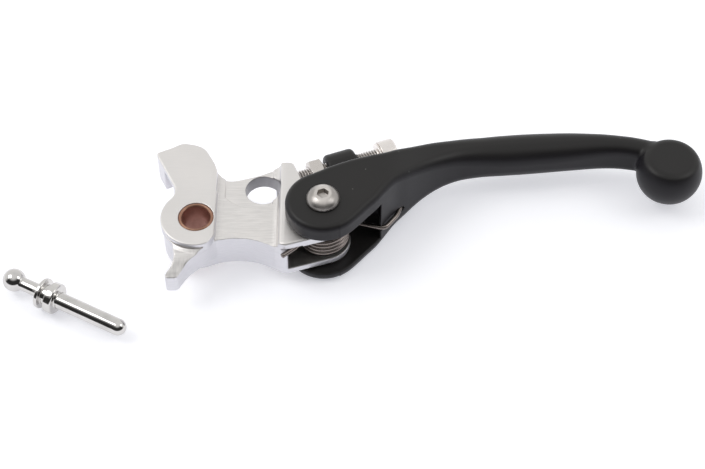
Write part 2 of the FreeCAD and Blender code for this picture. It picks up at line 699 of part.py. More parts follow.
def build_stop_screw():
    """Cap screw with annular thread grooves, turned about Z then laid on its axis."""
    stop = new_body("stop_screw")
    crest, root = dim["stop_thread"] / 2, dim["stop_root"] / 2
    pitch, shank = dim["stop_pitch"], dim["stop_shank"]
    head = dim["stop_head_diameter"] / 2
    top = shank + dim["stop_head_height"]

    points = [(0, 0), (1.55, 0), (root, 0.35)]
    place = 0.55
    while place + pitch < shank - 0.6:
        points += [(crest, place + 0.2), (crest, place + 0.34), (root, place + 0.62)]
        place += pitch
    points += [(crest, shank - 0.5), (crest, shank)]
    points += [(head - inset, shank + height) for inset, height in STOP_COLLAR]
    points += [(head, top - 0.7), (head - 0.2, top - 0.2), (head - 0.75, top), (0, top)]
    turn_profile(stop, "StopProfile", "StopTurn", polygon(points))

    sketch = new_sketch(stop, "StopKey", hexagon(dim["stop_key"], 0),
                        "Dims.stop_shank + Dims.stop_head_height + 0.5")
    pocket(stop, "StopKeyPocket", sketch, "3")
    stop.Placement = Placement(STOP_TIP, Rotation(Vector(0, 0, 1), STOP_AXIS))


# ---------------------------------------------------------------- jam nut
NUT_CHAMFER_SLOPE = 0.577   # rise over run, about 30 degrees
NUT_CORNER_TILT = math.radians(52)


def build_jam_nut():
    nut = new_body("jam_nut")
    sketch = new_sketch(nut, "NutHex", hexagon(dim["nut_width"], 0))
    pad(nut, "NutPad", sketch, "Dims.nut_height")
    doc.recompute()

    # conical chamfers on both faces; inward is the direction from the face into the nut
    inner = dim["nut_width"] / 2 - 0.15
    outer = dim["nut_width"] / 2 / COS_30 + 0.4
    drop = (outer - inner) * NUT_CHAMFER_SLOPE
    for name, face, inward in (("NutFace1", 0.0, 1), ("NutFace2", dim["nut_height"], -1)):
        triangle = polygon([(inner, face - inward * 0.2), (inner, face),
                            (outer, face + inward * drop), (outer, face - inward * 0.2)])
        turn_profile(nut, name, name + "Groove", triangle, kind="Groove")

    sketch = circle_sketch(nut, "NutBore", [(ON_AXIS, ON_AXIS, "Dims.nut_bore / 2")],
                           "Dims.nut_height + 1")
    pocket(nut, "NutBorePocket", sketch, "Dims.nut_height + 2")

    # one corner points up and to the front
    corner = Vector(0.0, -math.cos(NUT_CORNER_TILT), math.sin(NUT_CORNER_TILT))
    x_axis = corner - STOP_AXIS * corner.dot(STOP_AXIS)
    x_axis.normalize()
    turned = Rotation(x_axis, STOP_AXIS.cross(x_axis), STOP_AXIS, "ZXY")
    nut.Placement = Placement(STOP_TIP + STOP_AXIS * dim["nut_start"], turned)


# ---------------------------------------------------------------- push rod
def build_push_rod():
    """Ball ended rod with a flange, groove and shoulder; turned with the ball at the origin."""
    rod = new_body("push_rod")
    ball, neck, flange, groove, shaft = [
        dim["rod_" + part] / 2 for part in ("ball", "neck", "flange", "groove", "shaft")]
    flange_start = dim["rod_flange_gap"]
    flange_end = flange_start + dim["rod_flange_thickness"]
    shoulder_start = dim["rod_shoulder"]
    shoulder_end = shoulder_start + dim["rod_shoulder_thickness"]
    shoulder = flange + 0.05
    length = dim["rod_length"]
    tip_start = length - shaft
    neck_start = math.sqrt(ball * ball - neck * neck)
    turn_profile(rod, "RodProfile", "RodTurn", [
        arc((0, -ball), (ball, 0), (neck, neck_start)),
        spline([(neck, neck_start), (neck + 0.02, neck_start + 1.0),
                (neck + 0.12, flange_start - 1.2), (neck + 0.55, flange_start)]),
        *chain([(neck + 0.55, flange_start), (flange - 0.2, flange_start),
                (flange, flange_start + 0.2), (flange, flange_end - 0.2),
                (flange - 0.2, flange_end), (groove, flange_end),
                (groove, shoulder_start), (flange - 0.2, shoulder_start),
                (shoulder, shoulder_start + 0.25), (shoulder, shoulder_end - 0.4),
                (flange - 0.35, shoulder_end), (shaft + 0.3, shoulder_end)]),
        arc((shaft + 0.3, shoulder_end), (shaft + 0.09, shoulder_end + 0.09),
            (shaft, shoulder_end + 0.3)),
        line((shaft, shoulder_end + 0.3), (shaft, tip_start)),
        arc((shaft, tip_start), (shaft * COS_45, tip_start + shaft * SIN_45), (0, length)),
        line((0, length), (0, -ball)),
    ])
    direction = Vector(*polar(1.0, dim["rod_angle"]), 0)
    rod.Placement = Placement(Vector(dim["rod_x"], dim["rod_y"], dim["rod_z"]),
                              Rotation(Vector(0, 0, 1), direction))


# ---------------------------------------------------------------- build, check and write
NODES = ["lever_base", "main_pivot_bush", "lever_blade", "pivot_screw", "pivot_sleeve",
         "fork_bush_upper", "fork_bush_lower", "thrust_washer_upper", "thrust_washer_lower",
         "torsion_spring", "stop_screw", "jam_nut", "push_rod"]


def check_and_export():
    doc.recompute()
    bad = [f"{item.Label}: {item.State}" for item in doc.Objects
           if "Invalid" in item.State or "Error" in item.State]
    shapes = {item.Label: item.Shape for item in doc.Objects if item.Label in NODES}
    for node in NODES:
        shape = shapes[node]
        if (shape.isNull() or not shape.isValid() or len(shape.Solids) != 1
                or shape.Volume <= 0):
            bad.append(f"{node}: not one valid solid")
    if bad:
        raise RuntimeError("; ".join(bad))
    os.makedirs("parts", exist_ok=True)
    for node in NODES:
        shapes[node].exportStep(f"parts/{node}.step")


build_lever_base()
for ring in RINGS:
    build_ring(*ring)
build_pivot_screw()
build_lever_blade()
build_torsion_spring()
build_stop_screw()
build_jam_nut()
build_push_rod()
check_and_export()
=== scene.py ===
import math

import bpy
import numpy as np
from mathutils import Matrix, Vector


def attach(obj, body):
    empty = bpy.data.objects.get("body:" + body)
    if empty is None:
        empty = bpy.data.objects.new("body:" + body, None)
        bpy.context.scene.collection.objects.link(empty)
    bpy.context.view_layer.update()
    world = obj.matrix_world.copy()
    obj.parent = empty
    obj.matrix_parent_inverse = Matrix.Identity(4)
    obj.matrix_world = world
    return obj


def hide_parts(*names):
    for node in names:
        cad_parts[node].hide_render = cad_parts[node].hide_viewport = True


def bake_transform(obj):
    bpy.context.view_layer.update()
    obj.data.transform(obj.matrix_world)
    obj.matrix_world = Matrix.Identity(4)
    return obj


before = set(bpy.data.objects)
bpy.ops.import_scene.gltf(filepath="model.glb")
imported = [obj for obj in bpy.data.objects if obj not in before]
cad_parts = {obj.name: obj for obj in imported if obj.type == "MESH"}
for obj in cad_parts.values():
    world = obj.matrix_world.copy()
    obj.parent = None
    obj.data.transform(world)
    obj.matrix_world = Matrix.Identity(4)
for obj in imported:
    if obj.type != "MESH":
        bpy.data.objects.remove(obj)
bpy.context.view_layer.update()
MM = 0.001
F32 = np.float32

# Dimensions shared between pieces, mm
PIVOT_X, PIVOT_Y = 35.77, 1.12      # axis the blade turns about
BOSS_R = 10.0                       # round boss of the base, about the origin
FORK_R = 7.6                        # round end of the base, about the blade's pivot
HALF_BASE = 6.75                    # half the height of the base
HOLE_X, HOLE_Y = 18.43, 12.33       # through hole in the base's web
BASE_BORE_R = 5.0
TIP = np.array([27.513, 18.984, 0.0])                       # free end of the stop screw
SCREW_ANGLE = math.radians(20.5)
SCREW_DIR = np.array([math.cos(SCREW_ANGLE), math.sin(SCREW_ANGLE), 0.0])
SPRING_Z = -3.3                     # height of the spring's lower leg
LEG_GROOVE = [np.array((x, y, SPRING_Z)) for x, y in
              ((49.8, 4.56), (53.3, 3.9), (56.9, 8.7), (58.2, 13.2))]
UP = (0, 0, 1)


# ------------------------------------------------------------------ meshes
def make_mesh(name, verts, faces, sharp):
    """A smooth mesh object from mm vertices; edges over sharp degrees stay crisp."""
    mesh = bpy.data.meshes.new(name)
    faces = [tuple(int(i) for i in face) for face in faces]
    mesh.from_pydata((np.asarray(verts, float) * MM).tolist(), [], faces)
    mesh.validate()
    mesh.update()
    mesh.polygons.foreach_set("use_smooth", [True] * len(mesh.polygons))
    mesh.set_sharp_from_angle(angle=math.radians(sharp))
    return link_object(name, mesh)


def link_object(name, data):
    obj = bpy.data.objects.new(name, data)
    bpy.context.scene.collection.objects.link(obj)
    return obj


def quad_mesh(name, verts, quads):
    """The fast way in for a dense mesh of quads only."""
    mesh = bpy.data.meshes.new(name)
    count = len(quads)
    mesh.vertices.add(len(verts))
    mesh.vertices.foreach_set("co", (np.asarray(verts, F32) * F32(MM)).ravel())
    mesh.loops.add(count * 4)
    mesh.loops.foreach_set("vertex_index", np.asarray(quads, np.int32).ravel())
    mesh.polygons.add(count)
    mesh.polygons.foreach_set("loop_start", np.arange(0, count * 4, 4, dtype=np.int32))
    mesh.polygons.foreach_set("loop_total", np.full(count, 4, np.int32))
    mesh.polygons.foreach_set("use_smooth", np.ones(count, bool))
    mesh.update(calc_edges=True)
    mesh.validate()
    return link_object(name, mesh)


def register(node):
    """Hides the CAD piece that the object stands in for."""
    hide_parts(node)


# Corners of a grid cell, and its edges as pairs of corners
CORNERS = [(0, 0, 0), (1, 0, 0), (0, 1, 0), (1, 1, 0), (0, 0, 1), (1, 0, 1), (0, 1, 1), (1, 1, 1)]
EDGES = [(0, 1), (2, 3), (4, 5), (6, 7), (0, 2), (1, 3), (4, 6), (5, 7),
         (0, 4), (1, 5), (2, 6), (3, 7)]


def surface_nets(field, low, high, step):
    """Closed quad surface of field(x, y, z) = 0, negative inside. Returns (vertices, quads)."""
    xs, ys, zs = (np.arange(low[i], high[i] + step, step, dtype=F32) for i in range(3))
    grid_x, grid_y = np.meshgrid(xs, ys, indexing="ij")
    values = field(grid_x[:, :, None], grid_y[:, :, None], zs[None, None, :]).astype(F32)
    # the outer layer is always outside, so the surface closes
    for side in (0, -1):
        values[side] = values[:, side] = values[:, :, side] = 1
    values[np.abs(values) < 1e-6] = 1e-6
    inside = values < 0

    # one vertex in each cell the surface crosses, at the mean of its edge crossings
    nx, ny, nz = (n - 1 for n in values.shape)
    total = sum(inside[i:nx + i, j:ny + j, k:nz + k].astype(np.int8) for i, j, k in CORNERS)
    active = (total > 0) & (total < 8)
    index = np.full(active.shape, -1, np.int64)
    cells = np.argwhere(active)
    index[active] = np.arange(len(cells))
    corner_values = np.stack([values[cells[:, 0] + i, cells[:, 1] + j, cells[:, 2] + k]
                              for i, j, k in CORNERS], 1)
    crossing_sum = np.zeros((len(cells), 3))
    crossings = np.zeros(len(cells))
    for start, end in EDGES:
        a, b = corner_values[:, start], corner_values[:, end]
        crossed = (a < 0) != (b < 0)
        t = np.where(crossed, a / np.where(crossed, a - b, 1), 0)
        p, q = np.array(CORNERS[start], float), np.array(CORNERS[end], float)
        crossing_sum += np.where(crossed[:, None], p + t[:, None] * (q - p), 0)
        crossings += crossed
    points = (crossing_sum / crossings[:, None] + cells) * step + np.array(low, float)

    # one quad round each grid edge that changes side
    quads = []
    for axis in range(3):
        near, far = [slice(None)] * 3, [slice(None)] * 3
        near[axis], far[axis] = slice(0, -1), slice(1, None)
        edges = np.argwhere(inside[tuple(near)] != inside[tuple(far)])
        u, v = (axis + 1) % 3, (axis + 2) % 3
        ring = []
        for du, dv in ((0, 0), (1, 0), (1, 1), (0, 1)):
            cell = edges.copy()
            cell[:, u] -= du
            cell[:, v] -= dv
            ring.append(index[tuple(cell.T)])
        ring = np.stack(ring, 1)
        flip = ~inside[tuple(edges.T)]
        ring[flip] = ring[flip][:, ::-1]
        quads.append(ring)

    # settle the vertices on the true surface
    h = step * 0.25
    for _ in range(3):
        x, y, z = points[:, 0], points[:, 1], points[:, 2]
        value = field(x, y, z)
        slope = np.stack([field(x + h, y, z) - field(x - h, y, z),
                          field(x, y + h, z) - field(x, y - h, z),
                          field(x, y, z + h) - field(x, y, z - h)], 1) / (2 * h)
        steepness = np.maximum((slope * slope).sum(1), 0.2)
        move = -(value / steepness)[:, None] * slope
        size = np.linalg.norm(move, axis=1, keepdims=True)
        points += move * np.minimum(1, step * 0.5 / np.maximum(size, 1e-9))
    return points, np.concatenate(quads)


# ------------------------------------------------------------------ solids and outlines
# A solid is a signed distance in mm, negative inside.
def both(a, b, radius):
    """Where two solids overlap, with the outer edge rounded."""
    u, v = np.maximum(a + radius, 0), np.maximum(b + radius, 0)
    return np.minimum(np.maximum(a + radius, b + radius), 0) + np.sqrt(u * u + v * v) - radius


def join(a, b, radius):
    """Two solids together, with the inner corner filleted."""
    return -both(-a, -b, radius)


def cut(body, tool, radius):
    """The body less the tool, with the new edge rounded."""
    return both(body, -tool, radius)


def slab(z, bottom, top):
    return np.maximum(bottom - z, z - top)


def distance(x, y, centre_x=0, centre_y=0):
    return np.sqrt((x - centre_x) ** 2 + (y - centre_y) ** 2)


def dense(points, n=10):
    """A smooth row of points through the given ones, n to each span."""
    P = np.array(points, float)
    Q = np.vstack([2 * P[0] - P[1], P, 2 * P[-1] - P[-2]])
    out = []
    for a, b, c, d in zip(Q, Q[1:], Q[2:], Q[3:]):
        for t in np.linspace(0, 1, n, endpoint=False):
            out.append(0.5 * ((2 * b) + (-a + c) * t + (2 * a - 5 * b + 4 * c - d) * t * t
                              + (-a + 3 * b - 3 * c + d) * t ** 3))
    out.append(P[-1])
    return [tuple(p) for p in out]


def arc(cx, cy, radius, start, end, n):
    t = np.radians(np.linspace(start, end, n))
    return list(zip(cx + radius * np.cos(t), cy + radius * np.sin(t)))


def on_circle(cx, cy, radius, degrees):
    angle = math.radians(degrees)
    return (cx + radius * math.cos(angle), cy + radius * math.sin(angle))


class Outline:
    """Signed distance to a closed outline, looked up from a fine table."""
    CELL = 0.1

    def __init__(self, points, pad=8.0):
        P = np.array(points, float)
        self.low = P.min(0) - pad
        self.shape = np.ceil((P.max(0) + pad - self.low) / self.CELL).astype(int) + 1
        X, Y = np.meshgrid(*(self.low[i] + self.CELL * np.arange(self.shape[i])
                             for i in (0, 1)), indexing="ij")
        squared = np.full(X.shape, 1e9, F32)
        inside = np.zeros(X.shape, bool)
        for (x0, y0), (x1, y1) in zip(P, np.roll(P, -1, 0)):
            ex, ey = x1 - x0, y1 - y0
            length2 = ex * ex + ey * ey
            if length2 < 1e-12:
                continue
            t = np.clip(((X - x0) * ex + (Y - y0) * ey) / length2, 0, 1)
            squared = np.minimum(squared, (X - x0 - t * ex) ** 2 + (Y - y0 - t * ey) ** 2)
            if abs(y1 - y0) > 1e-12:
                spans = (y0 > Y) != (y1 > Y)
                inside ^= spans & (X < (x1 - x0) * (Y - y0) / (y1 - y0) + x0)
        gap = np.sqrt(squared)
        self.table = np.where(inside, -gap, gap).astype(F32)

    def __call__(self, x, y):
        fx = np.clip((x - self.low[0]) / self.CELL, 0, self.shape[0] - 1.001)
        fy = np.clip((y - self.low[1]) / self.CELL, 0, self.shape[1] - 1.001)
        i, j = fx.astype(int), fy.astype(int)
        u, v = fx - i, fy - j
        T = self.table
        return (T[i, j] * (1 - u) * (1 - v) + T[i + 1, j] * u * (1 - v)
                + T[i, j + 1] * (1 - u) * v + T[i + 1, j + 1] * u * v)


# ------------------------------------------------------------------ lever base
# Outlines are (x, y) points in mm.
# Front edge, from the boss to the fork
ARCH = [(-1.0, -8.75), (0.9, -8.15), (2.7, -7.75), (4.9, -6.85), (7.0, -6.15), (9.1, -5.75),
        (12.0, -5.6), (14.8, -5.85), (17.7, -6.6), (20.5, -7.8), (22.6, -8.95), (24.2, -9.7)]
# Rear edge, from the fork toward the boss
REAR = [(25.1, 20.35), (22.9, 20.15), (20.2, 19.1), (17.4, 17.85), (14.5, 16.9), (11.7, 16.1),
        (9.9, 15.75), (8.2, 15.8), (6.7, 16.5), (5.3, 18.2)]
# Round the fork, from the end of ARCH to the start of REAR
FORK_EDGE = (dense([ARCH[-1], (25.2, -9.95), (26.4, -9.7)])
             + arc(PIVOT_X, PIVOT_Y, FORK_R, -74, 62, 40)
             + dense([on_circle(PIVOT_X, PIVOT_Y, FORK_R, 62), (35.0, 9.4), (31.6, 9.2),
                      (30.1, 10.6)])
             + [(29.72, 13.0)]
             + dense([(27.40, 19.2), (27.0, 19.85), (26.3, 20.25), REAR[0]]))
# The lower boss narrows from the disc's radius as it turns to the front
LOWER_BOSS = [on_circle(0, 0, radius, degrees) for degrees, radius in
              zip(np.linspace(140, 256, 44), 9.1 + 0.9 * (1 - np.linspace(0, 1, 44)) ** 1.5)]

LOW = Outline(LOWER_BOSS + dense(ARCH) + FORK_EDGE + dense(REAR) + [(0, 18), (-4, 12)])
FORK = Outline([(22.0, -8.7)] + FORK_EDGE + dense(REAR[:3]) + [(20.2, 0.0)])
TANG = Outline(
    dense([(-6.7, -6.6), (-6.1, -9.3), (-5.75, -12.0), (-6.4, -14.6), (-7.6, -16.6),
           (-7.95, -17.6)])
    + dense([(-7.95, -17.6), (-7.75, -18.2), (-7.15, -18.5)])
    + dense([(-5.2, -18.5), (-4.4, -18.0), (-3.8, -16.9)])
    + dense([(-3.8, -16.9), (-3.2, -15.85), (-2.5, -14.7), (-1.3, -13.1), (0.5, -11.35),
             (2.0, -9.95), (3.3, -8.75), (4.4, -7.65), (5.5, -6.6)])
    + [(5.4, -3.0), (-4.0, -3.0)])
CAP = Outline(arc(0, 0, BOSS_R, 140, 279, 50)
              + dense([on_circle(0, 0, BOSS_R, 279), (3.5, -9.1), (4.75, -7.4), (5.6, -5.5)])
              + [(5.6, 10.0)])


def horn_face(along, depth):
    """A point along the horn's slanting flat face, and so far in from it."""
    return (-12.55 + 0.4445 * along + 0.8958 * depth, 22.75 - 0.8958 * along + 0.4445 * depth)


HORN = Outline(
    [horn_face(0.55, 0)]
    + dense([horn_face(12.7, 0), (-6.5, 10.1), (-6.55, 8.7), (-7.0, 7.4),
             on_circle(0, 0, BOSS_R, 140)])
    + [(0, 2), (5.3, 2), (5.3, 16.9)]
    + dense([(5.3, 16.9), (5.0, 18.0), (4.3, 20.0), (3.0, 22.5), (1.95, 24.4), (0.7, 25.7),
             (-1.1, 26.6), (-3.2, 27.1), (-4.7, 27.3), (-6.1, 26.95), (-8.3, 25.7),
             (-10.3, 24.75), (-11.9, 24.0), (-12.45, 23.4), horn_face(0.55, 0)])[:-1])
CHANNEL_R, CHANNEL_AT = 3.45, 8.7    # round-ended channel in from the horn's face
CHANNEL = Outline(
    [horn_face(CHANNEL_AT - CHANNEL_R, -4)]
    + [horn_face(CHANNEL_AT - CHANNEL_R * math.cos(t), 1.5 + CHANNEL_R * math.sin(t))
       for t in np.linspace(0, math.pi, 24)]
    + [horn_face(CHANNEL_AT + CHANNEL_R, -4)])
# Pockets in the top and in the underside of the web
RECESS = Outline([(7.6, 26.0)]
                 + dense([(7.6, 9.2), (9.4, 7.5), (12.0, 6.0), (14.9, 5.45), (18.2, 5.6),
                          (21.3, 6.9)])
                 + [(21.3, 26.0)])
UNDER = Outline([(7.2, 29.0)]
                + dense([(7.2, 3.0), (7.9, 1.2), (10.0, 0.3), (14.8, 0.1), (19.5, 0.3),
                         (21.3, 1.2), (21.9, 3.0)])
                + [(21.9, 29.0)])
FORK_SLOT = Outline([(25.9, -24.0), (54.0, -24.0), (54.0, 9.75), (25.9, 9.75)])
SCALLOP = Outline([(22.0, -16.0), (29.2, -16.0), (30.2, -7.6), (28.2, -7.9), (25.2, -9.2),
                   (22.0, -10.1)])
# Side profile cut from the top of the tang, as (y, z)
TANG_RAMP = Outline([(-10.0, 12.0), (-11.4, 4.32)]
                    + dense([(-12.0, 4.28), (-13.5, 3.95), (-15.1, 3.3), (-16.8, 2.9)])
                    + [(-26.0, 2.9), (-26.0, 12.0)])
LEDGE_Z = 4.3        # top of the lower body and the tang
HORN_BOTTOM = -3.35  # underside of the horn and the tang


def milled_web(x, y, z):
    """Space above the web: a flat floor, a concave then a convex fillet, and cutter steps."""
    left, right, floor_z = 7.55, 21.35, 4.1
    low_r, top_r, width = 2.05, 1.15, 3.151     # fillet radii and overall width
    out = np.maximum(np.maximum(left - x, x - right), 0)
    knee = low_r * 0.9851
    concave = np.sqrt(np.maximum(low_r * low_r - np.minimum(out, knee) ** 2, 0.0))
    run = np.clip(width - out, 0.0, top_r * 0.9851)
    convex = np.sqrt(np.maximum(top_r * top_r - run ** 2, 0.0))
    height = np.where(out < knee, floor_z + low_r - concave,
                      np.where(out < width, HALF_BASE - top_r + convex,
                               HALF_BASE + (out - width) * 0.5))
    lean = np.where(out < knee, concave / low_r, np.where(out < width, convex / top_r, 1.0))
    steps = 0.03 * np.cos(2 * math.pi * x / 0.62) * (out > 0.15) * (out < width - 0.3)
    waves = (0.035 * np.cos(2 * math.pi * (y - 0.25 * x + 0.25 * np.sin(x * 0.9)) / 1.15)
             * (y < 5.0))
    return (height + steps + waves - z) * np.maximum(lean, 0.2)


def base_field(x, y, z):
    edge = 0.38
    from_axis = distance(x, y)
    low = both(LOW(x, y), slab(z, -HALF_BASE, LEDGE_Z), edge)
    tang_plan = TANG(x, y)
    tang = both(tang_plan, slab(z, HORN_BOTTOM, LEDGE_Z), 0.45)
    tang = cut(tang, TANG_RAMP(y, z), 0.4)
    # conical step up from the ledge to the boss disc
    cone = np.maximum(
        np.maximum((z - LEDGE_Z - 0.56 * (11.0 - from_axis)) * 0.87, z - 4.95),
        np.maximum(tang_plan + 0.1, 2.0 - z))
    low = np.minimum(join(low, tang, 0.3), cone)
    cap = both(CAP(x, y), slab(z, 3.6, HALF_BASE), edge)
    fork = both(FORK(x, y), slab(z, -HALF_BASE, HALF_BASE), 0.75)
    horn = both(HORN(x, y), slab(z, HORN_BOTTOM, HALF_BASE), 0.5)
    body = np.minimum(np.minimum(low, fork), np.minimum(cap, horn))

    body = cut(body, milled_web(x, y, z), 0.22)
    body = cut(body, both(RECESS(x, y), 3.5 - z, 0.5), 0.25)
    # turned relief under the boss disc, on the side of the tang
    relief = np.maximum(np.maximum(9.35 - from_axis, from_axis - 10.6),
                        np.maximum(np.abs(z - 5.08) - 0.27, np.maximum(y + 5.4, x - 2.4)))
    body = cut(body, relief, 0.08)
    body = cut(body, np.maximum(UNDER(x, y), z + 1.3), 0.3)
    body = cut(body, np.maximum(FORK_SLOT(x, y), slab(z, -4.55, 4.0)), 0.2)
    body = cut(body, np.maximum(SCALLOP(x, y), slab(z, 2.25, 4.45)), 0.15)
    body = cut(body, np.maximum(CHANNEL(x, y), z - 5.1), 0.3)
    body = cut(body, distance(x, y, HOLE_X, HOLE_Y) - BASE_BORE_R, 0.35)
    body = np.maximum(body, -(from_axis - BASE_BORE_R))
    return np.maximum(body, -(distance(x, y, PIVOT_X, PIVOT_Y) - BASE_BORE_R))


STEP_BASE = 0.2
STEP_BLADE = 0.26
base = quad_mesh("machined_base", *surface_nets(
    base_field, low=(-13.6, -19.4, -7.8), high=(44.4, 28.4, 7.8), step=STEP_BASE))
register("lever_base")
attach(base, "base")

# ------------------------------------------------------------------ lever blade
# Sections along the blade: x, centre y, centre z, half width in y, half height in z, edge radius
STATIONS = np.array([
    (53.0, 12.65, 0.80, 6.8, 12.25, 2.6), (56.3, 15.2, 0.82, 6.05, 11.50, 3.2),
    (60.0, 17.9, 0.75, 5.5, 10.1, 3.5), (63.0, 20.1, 0.70, 5.2, 8.84, 3.7),
    (66.0, 22.05, 0.65, 4.95, 7.95, 3.85), (69.0, 23.65, 0.60, 4.75, 7.25, 4.0),
    (72.0, 24.9, 0.54, 4.6, 6.78, 4.1), (76.0, 26.2, 0.46, 4.6, 6.38, 4.2),
    (82.0, 27.3, 0.32, 4.9, 6.07, 4.6), (88.0, 28.0, 0.22, 5.3, 5.99, 5.0),
    (95.0, 28.7, 0.10, 5.35, 5.95, 5.0), (102.0, 29.3, 0.02, 5.15, 5.87, 4.9),
    (108.0, 29.7, 0.0, 4.8, 5.78, 4.6), (114.0, 29.9, 0.0, 4.2, 5.66, 4.05),
    (118.0, 29.9, 0.0, 3.8, 5.58, 3.65), (122.0, 29.6, 0.0, 3.5, 5.5, 3.3),
    (126.0, 29.0, 0.0, 3.5, 5.45, 3.3), (130.0, 28.0, 0.0, 3.6, 5.4, 3.4),
    (133.0, 27.0, 0.0, 3.6, 5.3, 3.4)])
at_x, mid_y, mid_z, half_y, half_z, edge_r = STATIONS.T
BLADE_END = 133.0
rear_rail = dense([(32.1, 11.1), (34.8, 12.5), (37.6, 14.0), (43.3, 16.4), (49.0, 18.3)]
                  + list(zip(at_x, mid_y + half_y)), 8)
front_rail = dense([(BLADE_END, 23.4)] + list(zip(at_x[1:-1], (mid_y - half_y)[1:]))[::-1]
                   + [(53.1, 4.85), (51.0, 1.95), (48.2, -1.2), (45.6, -4.2), (43.2, -6.7),
                      (40.6, -8.6)], 8)
end_arc = arc(PIVOT_X, PIVOT_Y, 10.65, 297, 111, 90)
BLADE_PLAN = Outline(rear_rail + front_rail + end_arc[1:-1], pad=12)

# The arms add three sections on the -X side of the stations
PROFILE_X = np.concatenate([[20.0, 44.0, 49.0], at_x])
FINE_X = np.arange(20.0, 134.0, 0.5)


def eased(arms, stations, reach=6):
    """Values at PROFILE_X, spread over FINE_X and smoothed."""
    y = np.interp(FINE_X, PROFILE_X, np.concatenate([arms, stations]))
    padded = np.concatenate([np.full(reach, y[0]), y, np.full(reach, y[-1])])
    weights = np.hanning(2 * reach + 1)
    return np.convolve(padded, weights / weights.sum(), "valid")


BLADE_TOP = eased([13.15, 13.15, 13.13], mid_z + half_z)
BLADE_BOTTOM = eased([-11.6, -11.6, -11.57], mid_z - half_z)
# the top edges are tighter than the stations' radius over the first eight
TOP_EDGE = eased([1.7, 1.8, 2.0],
                 np.concatenate([[2.0, 2.0, 2.1, 2.3, 2.6, 3.0, 3.4, 3.9], edge_r[8:]]))
BOTTOM_EDGE = eased([2.8, 3.0, 3.0], np.maximum(edge_r, 3.2))
LUG_WEB = Outline([tuple((TIP + SCREW_DIR * 10.0)[:2]), tuple((TIP + SCREW_DIR * 18.2)[:2]),
                   (52.6, 19.0), (52.6, 9.0), (45.0, 9.2), (39.2, 11.0), (38.2, 12.4)])


def capsule(x, y, z, a, b, radius):
    d = b - a
    t = np.clip(((x - a[0]) * d[0] + (y - a[1]) * d[1] + (z - a[2]) * d[2]) / (d @ d), 0, 1)
    return np.sqrt((x - a[0] - t * d[0]) ** 2 + (y - a[1] - t * d[1]) ** 2
                   + (z - a[2] - t * d[2]) ** 2) - radius


def blade_field(x, y, z):
    top, bottom = np.interp(x, FINE_X, BLADE_TOP), np.interp(x, FINE_X, BLADE_BOTTOM)
    # scaled to a true distance where the faces slope most
    slope = 1.0 / np.sqrt(1 + 0.25 * np.exp(-((x - 60.0) / 6.0) ** 2))
    faces = np.maximum(bottom - z, z - top) * slope
    edge = np.where(z > 0.5 * (top + bottom),
                    np.interp(x, FINE_X, TOP_EDGE), np.interp(x, FINE_X, BOTTOM_EDGE))
    body = np.maximum(both(BLADE_PLAN(x, y), faces, edge), x - BLADE_END)
    # slot between the arms
    body = cut(body, np.maximum(np.abs(z) - 7.65, x - 51.95), 0.45)
    # lug round the stop screw and the web that ties it to the arms
    dx, dy = x - TIP[0], y - TIP[1]
    along = dx * SCREW_DIR[0] + dy * SCREW_DIR[1]
    from_screw = np.sqrt((dy * SCREW_DIR[0] - dx * SCREW_DIR[1]) ** 2 + z * z)
    lug = both(from_screw - 4.6, np.maximum(9.6 - along, along - 18.6), 1.25)
    web = both(LUG_WEB(x, y), np.abs(z) - 4.3, 0.6)
    body = join(body, join(lug, web, 0.6), 0.7)
    # ball end with its two flats
    ball_x, ball_y = x - 136.2, y - 22.04
    ball = np.sqrt(ball_x * ball_x + ball_y * ball_y + z * z) - 9.55
    body = join(body, both(ball, np.abs(z) - 6.25, 1.1), 1.3)
    # pivot bore, screw bore and the groove for the spring's lower leg
    bore = distance(x, y, PIVOT_X, PIVOT_Y) - np.where(z > 0, 2.65, 2.5)
    body = np.maximum(body, -bore)
    body = cut(body, from_screw - 2.56, 0.25)
    groove = [capsule(x, y, z, a, b, radius)
              for a, b, radius in zip(LEG_GROOVE, LEG_GROOVE[1:], (1.0, 1.0, 1.05))]
    return cut(body, np.minimum(groove[0], np.minimum(groove[1], groove[2])), 0.2)


blade = quad_mesh("finger_blade", *surface_nets(
    blade_field, low=(24.0, -10.8, -12.8), high=(147.0, 35.8, 14.4), step=STEP_BLADE))
register("lever_blade")
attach(blade, "blade")


# ------------------------------------------------------------------ turned and threaded pieces
def loft(name, rings, sharp, closed=False):
    """Joins rings of points. closed joins last to first; otherwise the ends are capped."""
    n, m = len(rings[0]), len(rings)
    i = np.arange(n)
    j = (i + 1) % n
    faces = []
    for k in range(m if closed else m - 1):
        after = (k + 1) % m
        faces += np.stack([k * n + i, k * n + j, after * n + j, after * n + i], 1).tolist()
    verts = np.concatenate(rings)
    if not closed:
        verts = np.vstack([verts, rings[0].mean(0), rings[-1].mean(0)])
        first, last, end = m * n, m * n + 1, (m - 1) * n
        faces += [(first, (k + 1) % n, k) for k in range(n)]
        faces += [(last, end + k, end + (k + 1) % n) for k in range(n)]
    return make_mesh(name, verts, faces, sharp)


def turned(name, profile, origin, axis, up, n, sharp, closed=False):
    """Profile of (place along the axis, radius); a radius may be a function of the angle."""
    A = np.array(axis, float)
    A = A / np.linalg.norm(A)
    X = np.array(up, float) - A * np.dot(up, A)
    X = X / np.linalg.norm(X)
    Y = np.cross(A, X)
    t = np.linspace(0, 2 * math.pi, n, endpoint=False)
    rings = []
    for place, radius in profile:
        r = radius(t) if callable(radius) else np.full(n, radius)
        rings.append(np.array(origin)[None] + place * A
                     + (r * np.cos(t))[:, None] * X + (r * np.sin(t))[:, None] * Y)
    return loft(name, rings, sharp, closed)


def hexagon(across_flats, phase=0.0):
    """Radius of a hexagon as a function of the angle."""
    def radius(t):
        return across_flats / 2 / np.cos((t - phase) % (math.pi / 3) - math.pi / 6)
    return radius


